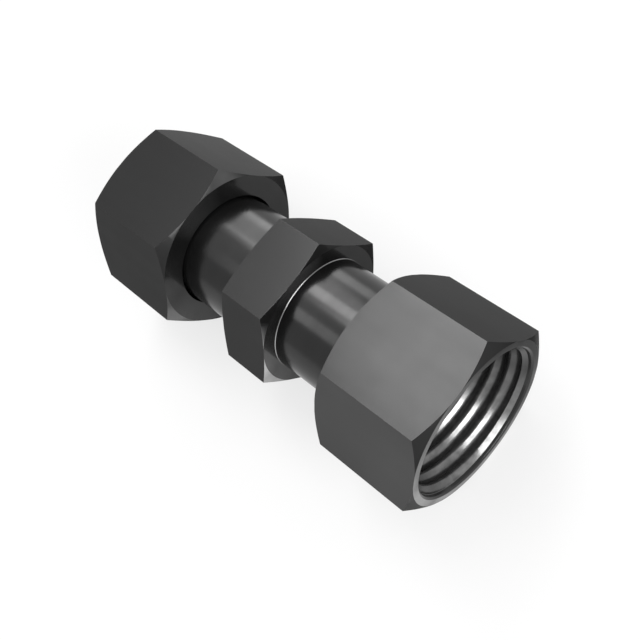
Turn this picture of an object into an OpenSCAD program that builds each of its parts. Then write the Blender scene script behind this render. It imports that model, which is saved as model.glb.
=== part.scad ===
// Straight face seal union with a swivel nut at each end.
// The fitting's axis is X and its middle is at the origin. It lies on one flat of each nut,
// and the three hexes are in line. The front end is at +X, the rear end mirrors it.
// All sizes are in millimetres.

/* [Union] */
// Distance between the outer faces of the two nuts
overall_len = 70; // [64:0.5:90]

/* [Body hex] */
// Width of the middle hex's face from the neck out to its flats
hex_land = 2.3; // [1.5:0.1:4]
// Thickness of the middle hex along the axis
hex_t = 9.2; // [8:0.1:14]
// Angle of the shallow chamfer at both ends of the middle hex
hex_chamfer_deg = 15; // [10:1:30]
// Depth of the socket that each gland is seated in
socket_depth = 3; // [2:0.1:3.4]

/* [Glands] */
// Height of the flange above the neck, on the radius
flange_step = 1.3; // [1:0.1:1.8]
// Thickness of the flange that the nut pulls on
flange_t = 3.4; // [2.5:0.1:4.5]
// Distance from the flange's rim in to the middle of the sealing bead
bead_inset = 3.4; // [2:0.1:4]
// Radius of the bead's round section
bead_r = 0.6; // [0.4:0.05:0.8]
// Height of the bead above the sealing face
bead_h = 0.45; // [0.2:0.05:0.5]
// Width of the step from the neck in to the spigot, on the radius
spigot_step = 0.8; // [0.5:0.1:1.4]
// Wall of the spigot round the flow bore
spigot_wall = 3.6; // [2.5:0.1:5]
// Width and height of the sloping foot of the neck, against the middle hex
foot_w = 0.3; // [0.1:0.05:0.3]

/* [Swivel nuts] */
// Width across the flats of each nut
nut_af = 27; // [25:0.1:32]
// Wall left at the flats outside the thread's roots
nut_wall = 1.1; // [0.8:0.1:2]
// Length of each nut
nut_len = 18.2; // [16:0.1:22]
// Angle of the corner chamfers at both ends of a nut
nut_chamfer_deg = 30; // [15:1:35]
// Thickness of the wall that closes the nut round the neck
back_wall = 4; // [3:0.1:5]
// Depth of the thread from its crests to its roots
thread_depth = 1.05; // [0.7:0.05:1.3]
// Width of the groove that the thread runs out into
relief_w = 1.5; // [1:0.1:2.5]
// Depth of that groove beyond the thread's roots
relief_depth = 0.1; // [0.05:0.05:0.3]
// Distance from the sealing face to that groove
relief_lead = 0.5; // [0.5:0.1:1.5]

/* [Clearances] */
// Radial gap between the neck and the hole in the nut's back wall
swivel_gap = 0.35; // [0.3:0.05:0.5]
// Axial gap between the flange and the nut's back wall
shoulder_gap = 0.3; // [0.2:0.05:0.6]
// Radial gap between the flange and the nut's chamber
flange_gap = 0.3; // [0.2:0.05:0.35]
// Radial gap between the flange and the thread's crests, which it passes on assembly
entry_gap = 0.45; // [0.4:0.05:0.6]
// Radial gap between a gland's spigot and its socket, filled when they are joined
joint_gap = 0.05; // [0.02:0.01:0.1]
// Distance from a hex's flats in to the ring where its chamfer starts
ring_inset = 0.1; // [0.05:0.05:0.4]
// Distance from the thread's roots out to the edge of the nut's mouth
mouth_lip = 0.1; // [0.05:0.05:0.3]
// Size of the small chamfers on turned edges
edge_break = 0.3; // [0.1:0.05:0.4]

/* [Hidden] */
metal = "#3c3d3f";
$fn = 96;
hex_sides = 6;
// Countersink at the nut's mouth, from the axis
mouth_deg = 45;
// How far a cutting shape runs past the face that it cuts
over = 1;

// Stations along the axis, from the middle of the fitting outwards
hex_face_x = hex_t / 2;
socket_x = hex_face_x - socket_depth;
nut_face_x = overall_len / 2;
nut_back_x = nut_face_x - nut_len;
shoulder_x = nut_back_x + back_wall;
flange_x = shoulder_x + shoulder_gap;
seal_x = flange_x + flange_t;
relief_x = seal_x + relief_lead;
thread_x = relief_x + relief_w;

// Radii, from the nut's flats inwards to the flow bore
root_r = nut_af / 2 - nut_wall;
mouth_r = root_r + mouth_lip;
relief_r = root_r + relief_depth;
crest_r = root_r - thread_depth;
flange_r = crest_r - entry_gap;
chamber_r = flange_r + flange_gap;
neck_r = flange_r - flange_step;
back_hole_r = neck_r + swivel_gap;
foot_r = neck_r + foot_w;
spigot_r = neck_r - spigot_step;
bore_r = spigot_r - spigot_wall;
bead_ring_r = flange_r - bead_inset;
hex_af = 2 * (neck_r + hex_land);

// Lays a shape that was made upright along the fitting's axis
module along_x() {
    rotate([90, 0, 90]) children();
}

// Turns an outline of [radius, station] points round the fitting's axis
module turned(outline) {
    along_x() rotate_extrude() polygon(outline);
}

// Hexagonal bar between two stations, with its corners turned down at both ends
module hex_bar(af, start_x, end_x, chamfer_deg) {
    corner_r = af / 2 / cos(180 / hex_sides);
    ring_r = af / 2 - ring_inset;
    rim_r = corner_r + over;
    drop = (rim_r - ring_r) * tan(chamfer_deg);
    intersection() {
        along_x() translate([0, 0, start_x])
            cylinder(r = corner_r, h = end_x - start_x, $fn = hex_sides);
        turned([
            [0, start_x],
            [ring_r, start_x],
            [rim_r, start_x + drop],
            [rim_r, end_x - drop],
            [ring_r, end_x],
            [0, end_x]
        ]);
    }
}

// Straight round cut along the axis between two stations
module round_cut(r, start_x, end_x) {
    along_x() translate([0, 0, start_x])
        cylinder(r = r, h = end_x - start_x);
}

module body_hex() {
    color(metal) difference() {
        hex_bar(hex_af, -hex_face_x, hex_face_x, hex_chamfer_deg);
        round_cut(bore_r, -hex_face_x - over, hex_face_x + over);
        for (end = [0, 1])
            mirror([end, 0, 0])
                round_cut(spigot_r + joint_gap, socket_x, hex_face_x + over);
    }
}

// Half section of a gland: spigot, foot, neck, flange and the round sealing bead
module gland_section() {
    polygon([
        [bore_r, socket_x],
        [spigot_r, socket_x],
        [spigot_r, hex_face_x],
        [foot_r, hex_face_x],
        [neck_r, hex_face_x + foot_w],
        [neck_r, flange_x],
        [flange_r - edge_break, flange_x],
        [flange_r, flange_x + edge_break],
        [flange_r, seal_x - edge_break],
        [flange_r - edge_break, seal_x],
        [bore_r + edge_break, seal_x],
        [bore_r, seal_x - edge_break]
    ]);
    translate([bead_ring_r, seal_x + bead_h - bead_r]) circle(r = bead_r);
}

module gland() {
    color(metal) along_x() rotate_extrude() gland_section();
}

// Space inside a nut: hole round the neck, flange chamber, relief, thread bore and countersink
module nut_cavity() {
    countersink = (mouth_r - crest_r) / tan(mouth_deg);
    turned([
        [0, nut_back_x - over],
        [back_hole_r, nut_back_x - over],
        [back_hole_r, shoulder_x],
        [chamber_r, shoulder_x],
        [chamber_r, relief_x],
        [relief_r, relief_x],
        [relief_r, thread_x],
        [crest_r, thread_x],
        [crest_r, nut_face_x - countersink],
        [mouth_r + over * tan(mouth_deg), nut_face_x + over],
        [0, nut_face_x + over]
    ]);
}

module nut() {
    color(metal) difference() {
        hex_bar(nut_af, nut_back_x, nut_face_x, nut_chamfer_deg);
        nut_cavity();
    }
}

module front_gland() {
    gland();
}

module rear_gland() {
    mirror([1, 0, 0]) gland();
}

module front_nut() {
    nut();
}

module rear_nut() {
    mirror([1, 0, 0]) nut();
}

body_hex();
front_gland();
rear_gland();
front_nut();
rear_nut();
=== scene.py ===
"""Looks of a face seal fitting: a straight union with a swivel nut at each end.

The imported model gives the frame. Each piece is turned from an outline, and milled and tapped where it
has flats and a thread. That is done in millimetres on the fitting's axis (X), at the front end (+X). The
finished piece is scaled to metres, and a rear one is turned half a turn about Z.
"""
import logging
import math
from abc import ABC, abstractmethod
from dataclasses import dataclass
from enum import Enum
from functools import cache
from typing import ClassVar, Mapping, Sequence

import bmesh
import bpy
from bmesh.types import BMEdge, BMesh, BMLayerItem, BMVert
from mathutils import Matrix, Quaternion, Vector


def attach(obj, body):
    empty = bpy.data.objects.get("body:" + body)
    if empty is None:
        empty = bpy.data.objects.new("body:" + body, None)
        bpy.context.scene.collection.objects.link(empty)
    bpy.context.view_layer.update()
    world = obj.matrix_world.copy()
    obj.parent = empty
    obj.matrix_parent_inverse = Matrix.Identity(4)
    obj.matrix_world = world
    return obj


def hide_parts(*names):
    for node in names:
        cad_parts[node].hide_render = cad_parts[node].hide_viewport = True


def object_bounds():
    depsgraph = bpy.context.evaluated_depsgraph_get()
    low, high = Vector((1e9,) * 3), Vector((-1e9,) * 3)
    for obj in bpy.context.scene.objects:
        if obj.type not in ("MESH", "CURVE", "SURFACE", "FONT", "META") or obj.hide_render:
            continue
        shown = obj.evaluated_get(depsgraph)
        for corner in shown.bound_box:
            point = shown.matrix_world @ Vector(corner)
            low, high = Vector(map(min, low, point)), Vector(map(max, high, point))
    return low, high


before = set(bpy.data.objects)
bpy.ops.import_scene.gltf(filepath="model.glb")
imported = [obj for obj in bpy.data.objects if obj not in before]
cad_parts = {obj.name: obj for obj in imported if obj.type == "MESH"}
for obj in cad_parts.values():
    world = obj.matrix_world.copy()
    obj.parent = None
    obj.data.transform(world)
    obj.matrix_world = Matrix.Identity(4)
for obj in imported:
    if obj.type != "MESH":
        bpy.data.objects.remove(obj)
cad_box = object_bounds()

log = logging.getLogger("face_seal_fitting")

MM = 0.001

# Steps in a full turn, sides of a hexagon, and distances in millimetres within which points are one
TURNED_STEPS = 192
HEX_SIDES = 6
MERGE_DISTANCE = 1e-4
TURN_TO_TURN_DISTANCE = 1e-3

# How far along the axis a face's normal points, at least, on a cone and on an end face
CONE_NORMAL = 0.5
END_NORMAL = 0.99

# Angle past which an edge stays sharp
SHARP_ANGLE = math.radians(40)

# Layer that holds each face's real edge wear and its painted reflection (faces made brighter on one
# side), and the amount of edge wear on every edge of a flat
WEAR_AND_REFLECTION_LAYER = "edge_wear_and_painted_reflection"
EDGE_RUB = 0.15

# Range that the sum of two tones keeps to
TONE_LOW = 0.6
TONE_HIGH = 1.4

# Watts that each square metre of a lamp takes to be as bright as a white floor
LAMP_POWER = 4.0

WHITE = (1.0, 1.0, 1.0, 1.0)


class End(Enum):
    """An end of the fitting, with the angle that brings a piece made at the front to it."""

    FRONT = 0.0
    REAR = 180.0


class Skin(Enum):
    """How a face was made, which is also its place among a piece's material slots.

    The flats are the drawn bar's own. Faced are the ring round a nut's mouth and a neck's foot, and
    parted is every other flat end of a hexagonal piece.
    """

    DRAWN = 0
    TURNED = 1
    THREADED = 2
    FACED = 3
    CHAMFERED = 4
    PARTED = 5


class Lay(Enum):
    """Which way the marks of a tool run over a surface."""

    ALONG_THE_BAR = "along the bar"
    ROUND_THE_AXIS = "round the axis"


@dataclass(frozen=True)
class Corner:
    """A corner of a turned outline.

    Args:
        x: Station along the axis, in millimetres.
        r: Distance from the axis, in millimetres.
        rounding: Radius of the corner, 0 where it stays sharp.
    """

    x: float
    r: float
    rounding: float = 0.0


def wear_and_reflection_layer(shell: BMesh) -> BMLayerItem:
    """Finds the layer that holds each face's edge wear and painted reflection, or adds it.

    Args:
        shell: The shell.

    Returns:
        The layer.
    """
    layers = shell.faces.layers.float
    return layers.get(WEAR_AND_REFLECTION_LAYER) or layers.new(WEAR_AND_REFLECTION_LAYER)


@dataclass(frozen=True)
class PaintedReflection:
    """Painted reflection on one skin of a piece: brighter on one side, as an amount that changes round
    the axis.

    Args:
        skin: The skin.
        towards_deg: The side that is painted brightest, in degrees from +Z towards +Y.
        level: Amount a quarter turn away from that side.
        swing: How much the amount rises towards that side and falls on the other.
    """

    skin: Skin
    towards_deg: float
    level: float
    swing: float

    def mark(self, shell: BMesh) -> None:
        """Marks the skin's faces with the painted reflection, apart from those that are marked brighter
        already.

        Args:
            shell: The shell to mark, at its end of the fitting.
        """
        wear_and_reflection = wear_and_reflection_layer(shell)
        angle = math.radians(self.towards_deg)
        towards = Vector((math.sin(angle), math.cos(angle)))
        for face in shell.faces:
            if face.material_index == self.skin.value:
                side = face.calc_center_median().yz.normalized().dot(towards)
                face[wear_and_reflection] = min(1.0, max(face[wear_and_reflection], self.level + self.swing * side))


def arc_at(before: Vector, corner: Vector, after: Vector, radius: float, segments: int) -> list[Vector]:
    """Rounds one corner of an outline.

    Args:
        before: The point before the corner.
        corner: The sharp corner.
        after: The point after the corner.
        radius: Radius of the arc that takes the corner's place.
        segments: Number of straight pieces in the arc.

    Returns:
        The arc's points, from the side of before to the side of after.
    """
    to_before = (before - corner).normalized()
    to_after = (after - corner).normalized()
    half_angle = to_before.angle(to_after) / 2
    centre = corner + (to_before + to_after).normalized() * (radius / math.sin(half_angle))
    start = corner + to_before * (radius / math.tan(half_angle)) - centre
    finish = corner + to_after * (radius / math.tan(half_angle)) - centre
    return [centre + start.slerp(finish, step / segments) * radius for step in range(segments + 1)]


def outline(corners: Sequence[Corner], closed: bool = True, segments: int = 3) -> list[Vector]:
    """Draws an outline in the plane of the axis.

    Args:
        corners: The outline's corners in order.
        closed: Whether the last corner is joined to the first.
        segments: Number of straight pieces in each rounded corner.

    Returns:
        The outline's points as (x, r, 0).
    """
    places = [Vector((corner.x, corner.r, 0.0)) for corner in corners]
    points: list[Vector] = []
    for index, corner in enumerate(corners):
        at_an_end = not closed and index in (0, len(corners) - 1)
        if corner.rounding == 0 or at_an_end:
            points.append(places[index])
            continue
        before = places[index - 1]
        after = places[(index + 1) % len(places)]
        points += arc_at(before, places[index], after, corner.rounding, segments)
    return points


def turn(points: Sequence[Vector]) -> BMesh:
    """Turns a closed outline a full turn about the axis.

    The outline starts half a step round, so that a hexagon's corners fall in the middle of a step.

    Args:
        points: The outline's points as (x, r, 0).

    Returns:
        The closed shell, its faces pointing outwards.
    """
    shell = bmesh.new()
    ring = [shell.verts.new(point) for point in points]
    sides = [shell.edges.new(pair) for pair in zip(ring, ring[1:] + ring[:1])]
    half_step = Matrix.Rotation(math.pi / TURNED_STEPS, 3, "X")
    bmesh.ops.rotate(shell, verts=ring, cent=(0, 0, 0), matrix=half_step)
    bmesh.ops.spin(shell, geom=ring + sides, cent=(0, 0, 0), axis=(1, 0, 0), dvec=(0, 0, 0),
                   angle=math.tau, steps=TURNED_STEPS, use_merge=True, use_duplicate=False)
    bmesh.ops.remove_doubles(shell, verts=shell.verts, dist=MERGE_DISTANCE)
    bmesh.ops.recalc_face_normals(shell, faces=shell.faces)
    for face in shell.faces:
        face.material_index = Skin.TURNED.value
    return shell


def cut_off(shell: BMesh, point: Vector, normal: Vector, skin: Skin) -> None:
    """Cuts away what lies beyond a plane and closes the cut with one flat face.

    Args:
        shell: The shell to cut.
        point: A point on the plane.
        normal: The plane's normal, pointing to what is cut away.
        skin: How the new face was made.
    """
    geometry = [*shell.verts, *shell.edges, *shell.faces]
    cut = bmesh.ops.bisect_plane(shell, geom=geometry, dist=MERGE_DISTANCE, plane_co=point,
                                 plane_no=normal, clear_outer=True, clear_inner=False)
    rim = [item for item in cut["geom_cut"] if isinstance(item, BMEdge) and item.is_boundary]
    bmesh.ops.edgeloop_fill(shell, edges=rim, mat_nr=skin.value, use_smooth=False)
    bmesh.ops.recalc_face_normals(shell, faces=shell.faces)


@dataclass(frozen=True)
class Hexagon:
    """Hexagonal bar with its corners turned down to a cone at both ends. Sizes are in millimetres.

    Args:
        across_flats: Distance between opposite flats.
        chamfer_deg: Angle of the cones from the end faces.
        ring_over: How far the ring where a cone starts lies outside the flats.
        edge: Distance from each edge to where its rounding starts.
        edge_segments: Number of flat pieces in that rounding.
        spare: How far the blank reaches beyond the hexagon's corners before it is milled.
    """

    across_flats: float
    chamfer_deg: float
    ring_over: float = 0.05
    edge: float = 0.02
    edge_segments: int = 2
    spare: float = 1.0

    @property
    def ring_r(self) -> float:
        """Radius where the cones start."""
        return self.across_flats / 2 + self.ring_over

    @property
    def rim_r(self) -> float:
        """Radius of the blank before it is milled."""
        return self.across_flats / 2 / math.cos(math.pi / HEX_SIDES) + self.spare

    @property
    def drop(self) -> float:
        """How far a cone falls back along the axis by the blank's rim."""
        return (self.rim_r - self.ring_r) * math.tan(math.radians(self.chamfer_deg))

    def mill(self, shell: BMesh) -> None:
        """Mills the six flats on a turned shell, with a corner of the hexagon on +Y.

        Args:
            shell: The turned blank.
        """
        for face in shell.faces:
            slope = abs(face.normal.x)
            if slope > CONE_NORMAL and face.calc_center_median().yz.length > self.ring_r:
                face.material_index = Skin.CHAMFERED.value
            elif slope > END_NORMAL and face.material_index == Skin.TURNED.value:
                face.material_index = Skin.PARTED.value
        for side in range(HEX_SIDES):
            angle = math.radians((side + 0.5) * 360 / HEX_SIDES)
            normal = Vector((0, math.cos(angle), math.sin(angle)))
            cut_off(shell, normal * self.across_flats / 2, normal, Skin.DRAWN)

    def soften(self, shell: BMesh) -> None:
        """Takes the sharpness off the edges of the flats and marks the new faces with edge wear.

        Args:
            shell: The milled shell.
        """
        wear_and_reflection = wear_and_reflection_layer(shell)
        flat = Skin.DRAWN.value
        edges = [edge for edge in shell.edges if len(edge.link_faces) == 2
                 and any(face.material_index == flat for face in edge.link_faces)]
        rounded = bmesh.ops.bevel(shell, geom=edges, affect="EDGES", offset_type="OFFSET",
                                  offset=self.edge, segments=self.edge_segments, profile=0.5,
                                  material=-1, clamp_overlap=True, loop_slide=True)
        for face in rounded["faces"]:
            face[wear_and_reflection] = EDGE_RUB


def scene_object(name: str, shell: BMesh) -> bpy.types.Object:
    """Makes a scene object of a shell and frees the shell.

    Args:
        name: Name of the object and its mesh.
        shell: The finished shell.

    Returns:
        The object, at the origin.
    """
    mesh = bpy.data.meshes.new(name)
    shell.to_mesh(mesh)
    shell.free()
    thing = bpy.data.objects.new(name, mesh)
    bpy.context.scene.collection.objects.link(thing)
    return thing


def open_slots(thing: bpy.types.Object) -> None:
    """Gives an object a material slot for each skin.

    Args:
        thing: The object.
    """
    slots = thing.data.materials
    while len(slots) < len(Skin):
        slots.append(None)


def apply_modifiers(thing: bpy.types.Object) -> None:
    """Puts the result of an object's modifiers in its mesh and removes them.

    Args:
        thing: The object.
    """
    bpy.context.view_layer.update()
    graph = bpy.context.evaluated_depsgraph_get()
    shaped = bpy.data.meshes.new_from_object(thing.evaluated_get(graph), preserve_all_data_layers=True,
                                             depsgraph=graph)
    old = thing.data
    thing.modifiers.clear()
    thing.data = shaped
    shaped.name = thing.name
    bpy.data.meshes.remove(old)


def to_its_end(shell: BMesh, end: End) -> None:
    """Scales a finished shell to metres and turns it to its end of the fitting.

    Args:
        shell: The shell, in millimetres at the front end.
        end: The end that it belongs to.
    """
    bmesh.ops.scale(shell, vec=(MM, MM, MM), verts=shell.verts)
    half_turn = Matrix.Rotation(math.radians(end.value), 3, "Z")
    bmesh.ops.rotate(shell, verts=shell.verts, cent=(0, 0, 0), matrix=half_turn)


def shade_evenly(thing: bpy.types.Object) -> None:
    """Shades an object smooth across its roundings and level across its flat faces.

    Args:
        thing: The object.
    """
    thing.data.shade_smooth()
    thing.data.set_sharp_from_angle(angle=SHARP_ANGLE)
    levelled = thing.modifiers.new("level", "WEIGHTED_NORMAL")
    levelled.keep_sharp = True
    apply_modifiers(thing)


Value = float | tuple[float, ...] | bpy.types.NodeSocket


@dataclass(frozen=True)
class Wiring:
    """A node tree under construction.

    Args:
        tree: The tree that the nodes are placed in.
    """

    tree: bpy.types.NodeTree

    def place(self, kind: str, inputs: Mapping[str | int, Value] | None = None,
              **settings: object) -> bpy.types.Node:
        """Places a node, sets its options and fills its inputs.

        Args:
            kind: The node's type.
            inputs: For an input's name or number, a constant or the output that feeds it.
            settings: The node's own options.

        Returns:
            The new node.
        """
        node = self.tree.nodes.new(kind)
        for option, choice in settings.items():
            setattr(node, option, choice)
        for key, value in (inputs or {}).items():
            self.feed(node, key, value)
        return node

    def feed(self, node: bpy.types.Node, key: str | int, value: Value) -> None:
        """Sets one input of a node to a constant, or links an output to it.

        Args:
            node: The node.
            key: The input's name or number.
            value: The constant or the output.
        """
        socket = node.inputs[key]
        if isinstance(value, bpy.types.NodeSocket):
            self.tree.links.new(value, socket)
        else:
            socket.default_value = value

    def reckon(self, operation: str, first: Value, second: Value,
               use_clamp: bool = False) -> bpy.types.NodeSocket:
        """Works out one step of arithmetic.

        Args:
            operation: The Math node's operation.
            first: Its first number.
            second: Its second number.
            use_clamp: Whether the result is kept between 0 and 1.

        Returns:
            The result.
        """
        node = self.place("ShaderNodeMath", {0: first, 1: second}, operation=operation,
                          use_clamp=use_clamp)
        return node.outputs["Value"]

    def noise(self, place: Value, scale: Value, detail: float,
              roughness: float = 0.5) -> bpy.types.NodeSocket:
        """Spreads noise over some coordinates.

        Args:
            place: The coordinates.
            scale: Number of patches in one unit of them.
            detail: Number of finer layers.
            roughness: Strength of those layers.

        Returns:
            The noise, 0 to 1.
        """
        node = self.place("ShaderNodeTexNoise", {"Vector": place, "Scale": scale, "Detail": detail,
                                                 "Roughness": roughness})
        return node.outputs["Fac"]

    def cloud(self, patch: Value, detail: float, roughness: float = 0.5) -> bpy.types.NodeSocket:
        """Spreads noise over the piece's own coordinates.

        Args:
            patch: Size of a patch, in metres.
            detail: Number of finer layers.
            roughness: Strength of those layers.

        Returns:
            The noise, 0 to 1.
        """
        place = self.place("ShaderNodeTexCoord").outputs["Object"]
        return self.noise(place, self.reckon("DIVIDE", 1.0, patch), detail, roughness)


def new_group(name: str, inputs: Sequence[str],
              outputs: Sequence[str]) -> tuple[Wiring, Mapping[str, bpy.types.NodeSocket]]:
    """Starts a shader node group whose sockets are all plain numbers.

    Args:
        name: Name of the group.
        inputs: Names of its inputs.
        outputs: Names of its outputs.

    Returns:
        The group's wiring and what comes in by each input.
    """
    tree = bpy.data.node_groups.new(name, "ShaderNodeTree")
    for label in inputs:
        tree.interface.new_socket(label, in_out="INPUT", socket_type="NodeSocketFloat")
    for label in outputs:
        tree.interface.new_socket(label, in_out="OUTPUT", socket_type="NodeSocketFloat")
    wiring = Wiring(tree)
    return wiring, wiring.place("NodeGroupInput").outputs


@dataclass(frozen=True)
class ToolMarks:
    """Fine parallel marks that a die or a lathe tool leaves, as a node group.

    Args:
        lay: Which way the marks run.
        stretch: How much longer a mark along the bar is than it is wide.
        layers: Number of finer layers in the marks.
        layer_strength: Strength of those layers.
        swathe: Width of a mark as a share of the swathe of tone that it lies in.
        swathe_layers: Number of finer layers in the swathes.
    """

    lay: Lay
    stretch: float = 60.0
    layers: float = 3.0
    layer_strength: float = 0.6
    swathe: float = 0.12
    swathe_layers: float = 1.0

    @cache
    def group(self) -> bpy.types.NodeTree:
        """Builds the group on the first call.

        Returns:
            A group with the input Spacing in metres and the outputs Height and Tone, both 0 to 1.
        """
        wiring, given = new_group("tool_marks_" + self.lay.name.lower(), ["Spacing"], ["Height", "Tone"])
        place = wiring.place("ShaderNodeTexCoord").outputs["Object"]
        split = wiring.place("ShaderNodeSeparateXYZ", {"Vector": place})
        draw = self.round_axis if self.lay is Lay.ROUND_THE_AXIS else self.along_bar
        spread = wiring.place("ShaderNodeCombineXYZ", {axis: given["Spacing"] for axis in "XYZ"})
        scaled = wiring.place("ShaderNodeVectorMath", {0: draw(wiring, split),
                                                       1: spread.outputs["Vector"]}, operation="DIVIDE")
        across = scaled.outputs["Vector"]
        marks = wiring.noise(across, 1.0, self.layers, self.layer_strength)
        swathes = wiring.noise(across, self.swathe, self.swathe_layers)
        wiring.place("NodeGroupOutput", {"Height": marks, "Tone": swathes})
        return wiring.tree

    def round_axis(self, wiring: Wiring, split: bpy.types.Node) -> bpy.types.NodeSocket:
        """Draws marks that are the same all the way round the axis.

        Args:
            wiring: The group under construction.
            split: The node that gives X, Y and Z.

        Returns:
            The point (x, r, 0).
        """
        flat = wiring.place("ShaderNodeCombineXYZ", {axis: split.outputs[axis] for axis in "YZ"})
        radius = wiring.place("ShaderNodeVectorMath", {0: flat.outputs["Vector"]}, operation="LENGTH")
        both = wiring.place("ShaderNodeCombineXYZ", {"X": split.outputs["X"],
                                                     "Y": radius.outputs["Value"]})
        return both.outputs["Vector"]

    def along_bar(self, wiring: Wiring, split: bpy.types.Node) -> bpy.types.NodeSocket:
        """Draws marks that run along the bar.

        Args:
            wiring: The group under construction.
            split: The node that gives X, Y and Z.

        Returns:
            The point (x, y, z) with x drawn out.
        """
        slow = wiring.reckon("DIVIDE", split.outputs["X"], self.stretch)
        both = wiring.place("ShaderNodeCombineXYZ", {"X": slow, "Y": split.outputs["Y"],
                                                     "Z": split.outputs["Z"]})
        return both.outputs["Vector"]


@cache
def oxide_bloom() -> bpy.types.NodeTree:
    """Builds, on the first call, the cloudy unevenness of the blackening.

    Returns:
        A group with the input Patch in metres and the output Tone, 0 to 1.
    """
    wiring, given = new_group("oxide_bloom", ["Patch"], ["Tone"])
    wiring.place("NodeGroupOutput", {"Tone": wiring.cloud(given["Patch"], detail=4.0, roughness=0.55)})
    return wiring.tree


@cache
def wear_and_glint_mask() -> bpy.types.NodeTree:
    """Builds, on the first call, the mask of real edge wear and painted reflection on the faces.

    Returns:
        A group with the inputs Patch in metres and Amount, and the output Mask, 0 to 1.
    """
    wiring, given = new_group("wear_and_glint_mask", ["Patch", "Amount"], ["Mask"])
    edge = wiring.place("ShaderNodeAttribute", attribute_name=WEAR_AND_REFLECTION_LAYER).outputs["Fac"]
    rubbed = wiring.reckon("MULTIPLY", edge, wiring.cloud(given["Patch"], detail=2.0))
    mask = wiring.reckon("MULTIPLY", rubbed, given["Amount"], use_clamp=True)
    wiring.place("NodeGroupOutput", {"Mask": mask})
    return wiring.tree


@dataclass(frozen=True)
class Metal:
    """The blackened steel of the fitting in one of its finishes.

    Args:
        name: Name of the material.
        marks: The marks of the tool that made it.
        shade: Linear grey of the metal seen straight on.
        edge_tint: How much light it sends back at a grazing angle, 1 for bare metal.
        roughness: Roughness of the surface.
        spacing: Distance between those marks, in millimetres.
        depth: Depth of those marks, in millimetres.
        bloom: How far the oxide's shade wanders either way, as a share of the grey.
        bloom_patch: Size of a patch of that shade, in millimetres.
        wear_and_glint: How strongly the marked faces are brightened, by real edge wear and by painted
            reflection.
        wear_and_glint_patch: Size of a brightened patch, in millimetres.
        rubbed_and_glint_shade: Linear grey of rubbed edges and of painted reflections.
        satin: How far the roughness wanders either way, as a share of it.
        film: Share of the surface that is dull oxide film, and scatters light.
        film_gloss: Specular level of that film.
    """

    name: str
    marks: ToolMarks
    shade: float
    edge_tint: float
    roughness: float
    spacing: float = 0.25
    depth: float = 0.0004
    bloom: float = 0.06
    bloom_patch: float = 4.0
    wear_and_glint: float = 0.3
    wear_and_glint_patch: float = 6.0
    rubbed_and_glint_shade: float = 0.12
    satin: float = 0.08
    film: float = 0.15
    film_gloss: float = 0.2

    def material(self) -> bpy.types.Material:
        """Builds the material.

        Returns:
            A node material with this finish.
        """
        material = bpy.data.materials.new(self.name)
        material.use_nodes = True
        wiring = Wiring(material.node_tree)
        shader = material.node_tree.nodes["Principled BSDF"]
        wiring.feed(shader, "Metallic", 1.0 - self.film)
        wiring.feed(shader, "Specular IOR Level", self.film_gloss)
        wiring.feed(shader, "Specular Tint", (self.edge_tint,) * 3 + (1.0,))
        marks = wiring.place("ShaderNodeGroup", node_tree=self.marks.group())
        wiring.feed(marks, "Spacing", self.spacing * MM)
        bloom = wiring.place("ShaderNodeGroup", node_tree=oxide_bloom())
        wiring.feed(bloom, "Patch", self.bloom_patch * MM)
        # Mask of real edge wear and of painted reflection, which mixes the grey towards a brighter one
        wear_and_glint = wiring.place("ShaderNodeGroup", node_tree=wear_and_glint_mask())
        wiring.feed(wear_and_glint, "Patch", self.wear_and_glint_patch * MM)
        wiring.feed(wear_and_glint, "Amount", self.wear_and_glint)
        tone = wiring.reckon("ADD", marks.outputs["Tone"], bloom.outputs["Tone"])
        grey = self.by_tone(wiring, tone, self.shade * (1 - self.bloom), self.shade * (1 + self.bloom))
        wear_and_reflection = wiring.place("ShaderNodeMapRange", {"Value": wear_and_glint.outputs["Mask"], "To Min": grey,
                                                   "To Max": self.rubbed_and_glint_shade}).outputs["Result"]
        colour = wiring.place("ShaderNodeCombineColor", {"Red": wear_and_reflection, "Green": wear_and_reflection, "Blue": wear_and_reflection})
        wiring.feed(shader, "Base Color", colour.outputs["Color"])
        satin = self.by_tone(wiring, tone, self.roughness * (1 + self.satin),
                             self.roughness * (1 - self.satin))
        wiring.feed(shader, "Roughness", satin)
        bump = wiring.place("ShaderNodeBump", {"Height": marks.outputs["Height"], "Strength": 1.0,
                                               "Distance": self.depth * MM})
        wiring.feed(shader, "Normal", bump.outputs["Normal"])
        return material

    def by_tone(self, wiring: Wiring, tone: bpy.types.NodeSocket, dark: float,
                light: float) -> bpy.types.NodeSocket:
        """Lets a number follow the summed tones, which keep near 1.

        Args:
            wiring: The material under construction.
            tone: The sum of two tones.
            dark: The number where the tone is low.
            light: The number where the tone is high.

        Returns:
            The number.
        """
        node = wiring.place("ShaderNodeMapRange", {"Value": tone, "From Min": TONE_LOW,
                                                   "From Max": TONE_HIGH, "To Min": dark,
                                                   "To Max": light})
        return node.outputs["Result"]


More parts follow.
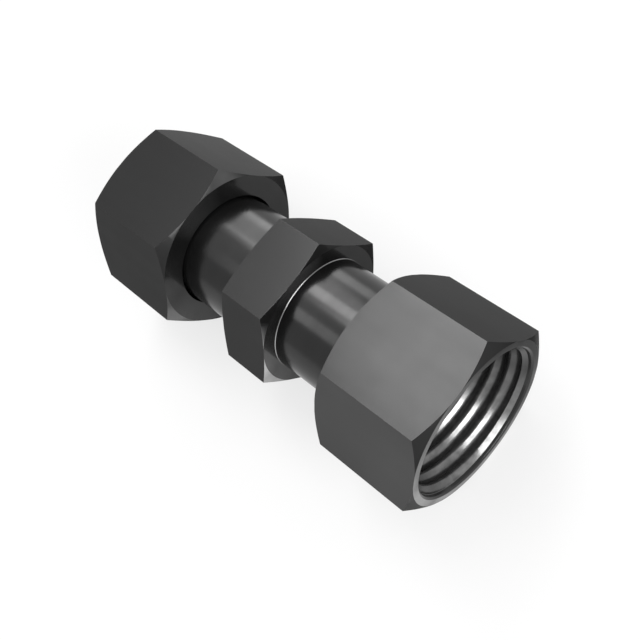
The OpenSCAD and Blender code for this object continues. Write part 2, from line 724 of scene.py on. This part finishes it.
def steel_finishes() -> dict[Skin, bpy.types.Material]:
    """Builds the fitting's finishes.

    Returns:
        The material for each way that a face was made.
    """
    along = ToolMarks(Lay.ALONG_THE_BAR)
    lathe = ToolMarks(Lay.ROUND_THE_AXIS)
    # Each finish's brightened grey serves real edge wear and painted reflection alike
    metals = {
        Skin.DRAWN: Metal("drawn_steel", along, shade=0.053, edge_tint=0.4, roughness=0.22, spacing=0.3,
                          wear_and_glint=2.0, wear_and_glint_patch=24.0),
        Skin.TURNED: Metal("turned_steel", lathe, shade=0.048, edge_tint=0.8, roughness=0.2,
                           spacing=0.2),
        Skin.THREADED: Metal("tapped_steel", lathe, shade=0.075, edge_tint=1.0, roughness=0.25,
                             spacing=0.15, depth=0.0008, bloom=0.3, wear_and_glint=2.0, wear_and_glint_patch=1.2,
                             rubbed_and_glint_shade=0.32, film=0.38),
        Skin.FACED: Metal("faced_steel", lathe, shade=0.035, edge_tint=0.5, roughness=0.25,
                          spacing=0.15, wear_and_glint=1.8, rubbed_and_glint_shade=0.43),
        Skin.CHAMFERED: Metal("chamfered_steel", lathe, shade=0.03, edge_tint=0.25, roughness=0.33,
                              spacing=0.15, wear_and_glint=1.8, rubbed_and_glint_shade=0.52),
        Skin.PARTED: Metal("parted_steel", lathe, shade=0.04, edge_tint=0.5, roughness=0.12,
                           spacing=0.15, wear_and_glint=1.8, rubbed_and_glint_shade=0.43),
    }
    return {skin: metal.material() for skin, metal in metals.items()}


@dataclass(frozen=True)
class Layout:
    """Sizes that the pieces share, and the stations that follow from them, in millimetres.

    Args:
        overall: Distance between the outer faces of the two nuts.
        nut_length: Length of a nut.
        back_wall: Thickness of the wall that closes a nut round the neck.
        shoulder_gap: Gap between that wall and the flange.
        flange_thickness: Thickness of the flange.
        relief_lead: Distance from the sealing face to the groove that the thread runs out into.
        relief_width: Width of that groove.
        hex_length: Length of the middle hexagon.
        socket_depth: Depth of the socket that a gland is seated in.
        bore_r: Radius of the flow bore.
        spigot_r: Radius of a gland's spigot.
        joint_gap: Gap round the spigot in its socket.
        neck_r: Radius of the necks.
        swivel_gap: Gap between a neck and the nut's back hole.
        flange_r: Radius of the flange.
        flange_gap: Gap between the flange and the nut's chamber.
    """

    overall: float = 70.0
    nut_length: float = 18.2
    back_wall: float = 4.0
    shoulder_gap: float = 0.3
    flange_thickness: float = 3.4
    relief_lead: float = 0.5
    relief_width: float = 1.5
    hex_length: float = 9.2
    socket_depth: float = 3.0
    bore_r: float = 5.2
    spigot_r: float = 8.8
    joint_gap: float = 0.05
    neck_r: float = 9.6
    swivel_gap: float = 0.35
    flange_r: float = 10.9
    flange_gap: float = 0.3

    @property
    def face_x(self) -> float:
        """Station of a nut's outer face."""
        return self.overall / 2

    @property
    def back_x(self) -> float:
        """Station of a nut's back face."""
        return self.face_x - self.nut_length

    @property
    def shoulder_x(self) -> float:
        """Station of the inner side of a nut's back wall."""
        return self.back_x + self.back_wall

    @property
    def flange_x(self) -> float:
        """Station of the flange's back."""
        return self.shoulder_x + self.shoulder_gap

    @property
    def seal_x(self) -> float:
        """Station of the sealing face."""
        return self.flange_x + self.flange_thickness

    @property
    def relief_x(self) -> float:
        """Station where the thread's relief starts."""
        return self.seal_x + self.relief_lead

    @property
    def thread_x(self) -> float:
        """Station where the thread starts."""
        return self.relief_x + self.relief_width

    @property
    def hex_face_x(self) -> float:
        """Station of the middle hexagon's face."""
        return self.hex_length / 2

    @property
    def socket_x(self) -> float:
        """Station of the socket's floor."""
        return self.hex_face_x - self.socket_depth


@dataclass(frozen=True)
class Piece(ABC):
    """A piece of the fitting, made in full by the classes below.

    Args:
        node: The node of the model that it stands for.
        body: The body that it rides on.
        slot: The record's slot that it takes its finish from; not used.
        end: The end of the fitting that it belongs to.
        layout: The sizes that it shares with the others.
        painted_reflections: Painted reflection that each piece of its kind has, as faces made brighter
            on one side.
        own_painted_reflections: Painted reflection that only this piece has.
    """

    # The last step of its making, with which its object's name ends
    making: ClassVar[str]

    node: str
    body: str
    slot: str
    end: End
    layout: Layout = Layout()
    painted_reflections: tuple[PaintedReflection, ...] = ()
    own_painted_reflections: tuple[PaintedReflection, ...] = ()

    @abstractmethod
    def shape(self) -> BMesh:
        """Makes the piece's closed shell, in millimetres at the front end."""

    def build(self) -> bpy.types.Object:
        """Makes the piece and finishes it at its end of the fitting.

        Returns:
            The piece's object.
        """
        shell = self.shape()
        to_its_end(shell, self.end)
        # Paints the reflections that brighten one side of some skins
        for painted in self.painted_reflections + self.own_painted_reflections:
            painted.mark(shell)
        thing = scene_object(f"{self.node}_{self.making}", shell)
        shade_evenly(thing)
        return thing

    def dress(self, thing: bpy.types.Object, metals: Mapping[Skin, bpy.types.Material]) -> None:
        """Gives the piece its finishes and its body, and hides the model's node.

        Args:
            thing: The finished object.
            metals: The material for each skin.
        """
        open_slots(thing)
        for skin, metal in metals.items():
            thing.data.materials[skin.value] = metal
        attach(thing, self.body)
        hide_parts(self.node)


@dataclass(frozen=True)
class Nut(Piece):
    """Swivel nut: hexagon outside, stepped hole inside, threaded mouth. Sizes are in millimetres.

    Args:
        hexagon: The bar that it is turned from.
        drill_r: Radius of the hole before it is tapped, just inside the thread's crests.
        crest_r: Radius of the thread's crests.
        relief_r: Radius of the groove that the thread runs out into.
        mouth_r: Radius of the mouth at the outer face.
        lip_depth: Depth of the lip that leads in from the outer face.
        lip_r: Radius at the bottom of the lip.
        counterbore_depth: Depth of the smooth counterbore, up to the lead cone of 45 degrees.
        counterbore_r: Radius at the bottom of the counterbore.
        hole_edge: Rounding of the hole's edges.
        fillet: Rounding of its inner corners.
        pitch: Pitch of the thread.
        flank_deg: Angle of its flanks from a plane across the axis.
        thread_depth: Depth from its crests to its roots.
        crest_flat: Width of its crests before they are rounded.
        crest_rounding: Rounding of its crests.
        root_rounding: Rounding of its roots.
        thread_phase: How far the thread is moved along the axis to where the photograph shows it.
        overrun: How far the tap reaches past the thread at both ends.
        lead_turns: Turns of the tap that are wound before that reach.
        spare_turns: Turns that are wound beyond what the reach needs.
    """

    making: ClassVar[str] = "tapped"

    hexagon: Hexagon = Hexagon(across_flats=27.0, chamfer_deg=30.0)
    drill_r: float = 11.3
    crest_r: float = 11.35
    relief_r: float = 12.5
    mouth_r: float = 12.5
    lip_depth: float = 0.2
    lip_r: float = 12.2
    counterbore_depth: float = 0.65
    counterbore_r: float = 12.1
    hole_edge: float = 0.15
    fillet: float = 0.3
    pitch: float = 2.37
    flank_deg: float = 45.0
    thread_depth: float = 0.7
    crest_flat: float = 0.35
    crest_rounding: float = 0.3
    root_rounding: float = 0.7
    thread_phase: float = 0.36
    overrun: float = 1.0
    lead_turns: float = 1.5
    spare_turns: int = 2
    # Painted reflections: mouth ring and thread brighter towards the bottom, back face brighter on -Y
    # and in a narrow wedge at the top
    painted_reflections: tuple[PaintedReflection, ...] = (
        PaintedReflection(Skin.FACED, towards_deg=-115.0, level=0.53, swing=0.6),
        PaintedReflection(Skin.THREADED, towards_deg=180.0, level=-0.4, swing=0.96),
        PaintedReflection(Skin.PARTED, towards_deg=-100.0, level=-0.03, swing=0.11),
        PaintedReflection(Skin.PARTED, towards_deg=2.0, level=-2.5, swing=2.72),
    )

    def blank(self) -> BMesh:
        """Turns and mills the nut before it is tapped.

        Returns:
            The closed shell of the blank.
        """
        bar = self.hexagon
        along = self.layout
        back_hole_r = along.neck_r + along.swivel_gap
        chamber_r = along.flange_r + along.flange_gap
        counterbore_x = along.face_x - self.counterbore_depth
        lead_x = counterbore_x - (self.counterbore_r - self.drill_r)
        shell = turn(outline([
            Corner(along.back_x, back_hole_r, self.hole_edge),
            Corner(along.back_x, bar.ring_r, bar.edge),
            Corner(along.back_x + bar.drop, bar.rim_r),
            Corner(along.face_x - bar.drop, bar.rim_r),
            Corner(along.face_x, bar.ring_r, bar.edge),
            Corner(along.face_x, self.mouth_r, bar.edge),
            Corner(along.face_x - self.lip_depth, self.lip_r, self.hole_edge),
            Corner(counterbore_x, self.counterbore_r, self.hole_edge),
            Corner(lead_x, self.drill_r),
            Corner(along.thread_x, self.drill_r),
            Corner(along.thread_x, self.relief_r, self.fillet),
            Corner(along.relief_x, self.relief_r, self.fillet),
            Corner(along.relief_x, chamber_r, bar.edge),
            Corner(along.shoulder_x, chamber_r, self.fillet),
            Corner(along.shoulder_x, back_hole_r, self.hole_edge),
        ]))
        for face in shell.faces:
            centre = face.calc_center_median()
            if lead_x < centre.x < counterbore_x and centre.yz.length < self.counterbore_r:
                face.material_index = Skin.THREADED.value
            elif face.normal.x > END_NORMAL and centre.x > along.face_x - bar.edge:
                face.material_index = Skin.FACED.value
        bar.mill(shell)
        return shell

    def tap(self) -> BMesh:
        """Winds one pitch of the thread's section into a right-hand helix and closes both ends.

        Returns:
            The closed shell that is cut out of the blank.
        """
        root_r = self.crest_r + self.thread_depth
        run = self.thread_depth * math.tan(math.radians(self.flank_deg))
        half_crest = self.crest_flat / 2
        section = outline([
            Corner(0.0, self.crest_r),
            Corner(half_crest, self.crest_r, self.crest_rounding),
            Corner(half_crest + run, root_r, self.root_rounding),
            Corner(self.pitch - half_crest - run, root_r, self.root_rounding),
            Corner(self.pitch - half_crest, self.crest_r, self.crest_rounding),
            Corner(self.pitch, self.crest_r),
        ], closed=False, segments=5)
        start_x = self.layout.thread_x - self.overrun
        finish_x = self.layout.face_x + self.overrun
        turns = math.ceil((finish_x - start_x) / self.pitch) + self.spare_turns
        shell = bmesh.new()
        chain = [shell.verts.new(point) for point in section]
        sides = [shell.edges.new(pair) for pair in zip(chain, chain[1:])]
        first_x = start_x - self.lead_turns * self.pitch + self.thread_phase
        bmesh.ops.translate(shell, verts=chain, vec=(first_x, 0, 0))
        step = self.pitch / TURNED_STEPS
        bmesh.ops.spin(shell, geom=chain + sides, cent=(0, 0, 0), axis=(1, 0, 0), dvec=(step, 0, 0),
                       angle=math.tau, steps=TURNED_STEPS, use_merge=False, use_duplicate=False)
        one_turn = [*shell.verts, *shell.edges, *shell.faces]
        for number in range(1, turns):
            copied = bmesh.ops.duplicate(shell, geom=one_turn)
            verts = [item for item in copied["geom"] if isinstance(item, BMVert)]
            bmesh.ops.translate(shell, verts=verts, vec=(number * self.pitch, 0, 0))
        bmesh.ops.remove_doubles(shell, verts=shell.verts, dist=TURN_TO_TURN_DISTANCE)
        axis = Vector((1, 0, 0))
        cut_off(shell, axis * start_x, -axis, Skin.THREADED)
        cut_off(shell, axis * finish_x, axis, Skin.THREADED)
        for face in shell.faces:
            face.material_index = Skin.THREADED.value
        return shell

    def shape(self) -> BMesh:
        """Cuts the thread in the blank.

        Returns:
            The nut's closed shell.
        """
        blank = scene_object(self.node + "_blank", self.blank())
        tool = scene_object(self.node + "_tap", self.tap())
        for thing in (blank, tool):
            open_slots(thing)
        cut = blank.modifiers.new("thread", "BOOLEAN")
        cut.operation = "DIFFERENCE"
        cut.solver = "MANIFOLD"
        cut.object = tool
        apply_modifiers(blank)
        bpy.data.objects.remove(tool)
        shell = bmesh.new()
        shell.from_mesh(blank.data)
        bpy.data.objects.remove(blank)
        self.hexagon.soften(shell)
        return shell


@dataclass(frozen=True)
class Gland(Piece):
    """Tubular end: spigot, foot, neck, flange and sealing bead. Sizes are in millimetres.

    Args:
        foot: Width and height of the neck's foot against the hexagon.
        bead_ring_r: Radius of the ring that the bead lies on.
        bead_r: Radius of the bead's section.
        bead_h: Height of the bead above the sealing face.
        crown_half: Half the width of the bead's crown before it is rounded.
        small_edge: Rounding of small edges.
        neck_fillet: Rounding between the neck and the flange.
        rounding: Rounding of the flange, the bead and the bore's mouth.
    """

    making: ClassVar[str] = "turned"

    foot: float = 0.1
    bead_ring_r: float = 7.5
    bead_r: float = 0.6
    bead_h: float = 0.45
    crown_half: float = 0.3
    small_edge: float = 0.1
    neck_fillet: float = 0.2
    rounding: float = 0.3
    # Painted highlight: the neck's foot brighter towards -35 degrees
    painted_reflections: tuple[PaintedReflection, ...] = (PaintedReflection(Skin.FACED, towards_deg=-35.0, level=0.45, swing=0.5),)

    def shape(self) -> BMesh:
        """Turns the gland from its outline.

        Returns:
            The gland's closed shell.
        """
        along = self.layout
        reach = math.sqrt(self.bead_r ** 2 - (self.bead_r - self.bead_h) ** 2)
        crown_x = along.seal_x + self.bead_h
        foot_x = along.hex_face_x + self.foot
        shell = turn(outline([
            Corner(along.socket_x, along.bore_r, self.small_edge),
            Corner(along.socket_x, along.spigot_r, self.small_edge),
            Corner(along.hex_face_x, along.spigot_r),
            Corner(along.hex_face_x, along.neck_r + self.foot),
            Corner(foot_x, along.neck_r, self.small_edge),
            Corner(along.flange_x, along.neck_r, self.neck_fillet),
            Corner(along.flange_x, along.flange_r, self.rounding),
            Corner(along.seal_x, along.flange_r, self.rounding),
            Corner(along.seal_x, self.bead_ring_r + reach, self.small_edge),
            Corner(crown_x, self.bead_ring_r + self.crown_half, self.rounding),
            Corner(crown_x, self.bead_ring_r - self.crown_half, self.rounding),
            Corner(along.seal_x, self.bead_ring_r - reach, self.small_edge),
            Corner(along.seal_x, along.bore_r, self.rounding),
        ]))
        for face in shell.faces:
            centre = face.calc_center_median()
            if along.hex_face_x < centre.x < foot_x and centre.yz.length > along.neck_r:
                face.material_index = Skin.FACED.value
        return shell


@dataclass(frozen=True)
class BodyHex(Piece):
    """Hexagon in the middle that joins the two glands. Sizes are in millimetres.

    Args:
        hexagon: The bar that it is turned from.
        small_edge: Rounding of small edges.
    """

    making: ClassVar[str] = "milled"

    hexagon: Hexagon = Hexagon(across_flats=23.8, chamfer_deg=15.0)
    small_edge: float = 0.1
    # Painted reflections: end faces brighter on -Y and in a narrow wedge at the top, and a bright
    # chamfer corner on -Y
    painted_reflections: tuple[PaintedReflection, ...] = (
        PaintedReflection(Skin.PARTED, towards_deg=-88.0, level=-0.08, swing=0.32),
        PaintedReflection(Skin.PARTED, towards_deg=4.0, level=-2.5, swing=2.82),
        PaintedReflection(Skin.CHAMFERED, towards_deg=-90.0, level=-1.5, swing=2.8),
    )

    def shape(self) -> BMesh:
        """Turns the blank with a socket at each end and mills its hexagon.

        Returns:
            The hexagon's closed shell.
        """
        bar = self.hexagon
        along = self.layout
        socket_r = along.spigot_r + along.joint_gap
        front = [
            Corner(along.socket_x, along.bore_r, self.small_edge),
            Corner(along.socket_x, socket_r),
            Corner(along.hex_face_x, socket_r, self.small_edge),
            Corner(along.hex_face_x, bar.ring_r, bar.edge),
            Corner(along.hex_face_x - bar.drop, bar.rim_r),
        ]
        rear = [Corner(-corner.x, corner.r, corner.rounding) for corner in reversed(front)]
        shell = turn(outline(front + rear))
        bar.mill(shell)
        bar.soften(shell)
        return shell


@dataclass(frozen=True)
class Viewpoint:
    """The photograph's camera.

    Args:
        place: Where it stands, in millimetres.
        target: The point in the middle of the picture, in millimetres.
        roll_deg: How far it is rolled about its line of sight.
        lens: Focal length, in millimetres.
        sensor: Width of the sensor, in millimetres.
        nearest: Nearest distance that is drawn, in metres.
    """

    place: tuple[float, float, float] = (71.351, -11.757, 114.223)
    target: tuple[float, float, float] = (5.110, -0.820, 0.0)
    roll_deg: float = -43.82
    lens: float = 48.41
    sensor: float = 36.0
    nearest: float = 0.01

    def build(self) -> None:
        """Sets up the scene's camera."""
        data = bpy.data.cameras.new("camera")
        data.sensor_width = self.sensor
        data.lens = self.lens
        data.clip_start = self.nearest
        camera = bpy.data.objects.new("camera", data)
        bpy.context.scene.collection.objects.link(camera)
        camera.location = Vector(self.place) * MM
        camera.rotation_mode = "QUATERNION"
        towards = (Vector(self.target) - Vector(self.place)).to_track_quat("-Z", "Y")
        camera.rotation_quaternion = towards @ Quaternion((0, 0, 1), math.radians(self.roll_deg))
        bpy.context.scene.camera = camera


def direction(azimuth: float, elevation: float) -> Vector:
    """Finds the unit vector to a place in the studio.

    Args:
        azimuth: Degrees from +X towards +Y.
        elevation: Degrees up from the floor.

    Returns:
        The unit vector.
    """
    flat = math.cos(math.radians(elevation))
    return Vector((flat * math.cos(math.radians(azimuth)), flat * math.sin(math.radians(azimuth)),
                   math.sin(math.radians(elevation))))


@dataclass(frozen=True)
class SoftBox:
    """A long rectangular lamp that faces the fitting.

    Args:
        name: Name of the lamp.
        start: Azimuth and elevation of the middle of one short side, in degrees.
        finish: Azimuth and elevation of the middle of the other short side, in degrees.
        width: Width of the lamp in degrees, seen from the fitting.
        radiance: Brightness of its face, where 1 is a white floor's.
        distance: Distance from the fitting, in metres.
    """

    name: str
    start: tuple[float, float]
    finish: tuple[float, float]
    width: float
    radiance: float
    distance: float = 0.8

    def build(self) -> None:
        """Adds the lamp to the scene."""
        first = direction(*self.start)
        last = direction(*self.finish)
        data = bpy.data.lights.new(self.name, "AREA")
        data.shape = "RECTANGLE"
        data.size = 2 * self.distance * math.tan(math.radians(self.width / 2))
        data.size_y = 2 * self.distance * math.tan(first.angle(last) / 2)
        data.energy = self.radiance * data.size * data.size_y * LAMP_POWER
        lamp = bpy.data.objects.new(self.name, data)
        bpy.context.scene.collection.objects.link(lamp)
        back = (first + last).normalized()
        along = (last - first).normalized()
        axes = Matrix((along.cross(back), along, back)).transposed()
        lamp.matrix_world = Matrix.Translation(back * self.distance) @ axes.to_4x4()


@dataclass(frozen=True)
class FloorPaint:
    """Matt white paint of the studio's floor.

    Args:
        colour: Linear grey of the paint.
        roughness: Roughness of the paint.
        glow: Share of plain white that the camera and reflections see over the paint.
    """

    colour: float = 0.85
    roughness: float = 0.9
    glow: float = 0.7

    def material(self) -> bpy.types.Material:
        """Builds the material, which keeps its shadows under the share of white.

        Returns:
            A node material with this finish.
        """
        material = bpy.data.materials.new("floor_paint")
        material.use_nodes = True
        wiring = Wiring(material.node_tree)
        shader = material.node_tree.nodes["Principled BSDF"]
        wiring.feed(shader, "Base Color", (self.colour,) * 3 + (1.0,))
        wiring.feed(shader, "Roughness", self.roughness)
        wiring.feed(shader, "Specular IOR Level", 0.0)
        path = wiring.place("ShaderNodeLightPath").outputs
        mirrored = wiring.reckon("MAXIMUM", path["Is Glossy Ray"], path["Is Transmission Ray"])
        seen = wiring.reckon("MAXIMUM", path["Is Camera Ray"], mirrored)
        share = wiring.reckon("MULTIPLY", seen, self.glow)
        white = wiring.place("ShaderNodeEmission", {"Color": WHITE, "Strength": 1.0})
        mixed = wiring.place("ShaderNodeMixShader", {0: share, 1: shader.outputs["BSDF"],
                                                     2: white.outputs["Emission"]})
        wiring.feed(material.node_tree.nodes["Material Output"], "Surface", mixed.outputs["Shader"])
        return material


@dataclass(frozen=True)
class Studio:
    """Plain pale floor and plain soft light.

    Args:
        paint: Finish of the floor.
        floor_half: Half the side of the floor, in metres.
        sky: Strength of the white light from all round.
        boxes: The lamps.
    """

    paint: FloorPaint = FloorPaint()
    floor_half: float = 3.0
    sky: float = 0.65
    boxes: tuple[SoftBox, ...] = (
        SoftBox("overhead_low", (137, 46), (152, 61), width=14, radiance=5.2),
        SoftBox("overhead_high", (154, 62), (166, 80), width=17, radiance=3.7),
        SoftBox("crown", (-150, 52), (166, 56), width=13, radiance=0.4),
        SoftBox("wall", (134, 2), (140, 45), width=26, radiance=2.1),
        SoftBox("side", (122, 0), (122, 19), width=13, radiance=2.4),
        SoftBox("left", (-133, 42), (-150, 55), width=9, radiance=2.0),
        SoftBox("front", (-1, 15), (-1, 35), width=36, radiance=8.0),
    )

    def build(self) -> None:
        """Builds the floor, the sky and the lamps."""
        shell = bmesh.new()
        bmesh.ops.create_grid(shell, x_segments=1, y_segments=1, size=self.floor_half)
        floor_z = cad_box[0][2]
        bmesh.ops.translate(shell, verts=shell.verts, vec=(0, 0, floor_z))
        floor = scene_object("floor", shell)
        floor.data.materials.append(self.paint.material())
        world = bpy.data.worlds.new("room")
        world.use_nodes = True
        background = world.node_tree.nodes["Background"]
        background.inputs["Color"].default_value = WHITE
        background.inputs["Strength"].default_value = self.sky
        bpy.context.scene.world = world
        for box in self.boxes:
            box.build()
        log.info("studio: floor and %d lamps", len(self.boxes))


def fitting() -> tuple[Piece, ...]:
    """Lists the fitting's pieces, from the middle outwards.

    Returns:
        The pieces.
    """
    # Painted reflections: chamfer corners brighter on -Y (and at 30 degrees on the rear nut), and the
    # front nut's flats brighter towards -60 degrees
    front_painted_reflections = (PaintedReflection(Skin.CHAMFERED, towards_deg=-90.0, level=-0.5, swing=0.7),
                  PaintedReflection(Skin.DRAWN, towards_deg=-60.0, level=-0.5, swing=0.95))
    rear_painted_reflections = (PaintedReflection(Skin.CHAMFERED, towards_deg=-90.0, level=-1.5, swing=1.77),
                 PaintedReflection(Skin.CHAMFERED, towards_deg=30.0, level=-1.5, swing=1.6))
    return (
        BodyHex("body_hex", "union", "hex_metal", End.FRONT),
        Gland("front_gland", "union", "gland_metal", End.FRONT),
        Gland("rear_gland", "union", "gland_metal", End.REAR),
        Nut("front_nut", "front_nut", "nut_metal", End.FRONT, own_painted_reflections=front_painted_reflections),
        Nut("rear_nut", "rear_nut", "nut_metal", End.REAR, own_painted_reflections=rear_painted_reflections),
    )


def main() -> None:
    """Builds the studio and the fitting."""
    logging.basicConfig(level=logging.INFO, format="%(name)s: %(message)s")
    bpy.context.scene.view_settings.view_transform = "Standard"
    Viewpoint().build()
    Studio().build()
    metals = steel_finishes()
    for piece in fitting():
        thing = piece.build()
        piece.dress(thing, metals)
        log.info("%s: %d vertices, %d faces", thing.name, len(thing.data.vertices),
                 len(thing.data.polygons))


if __name__ == "__main__":
    main()
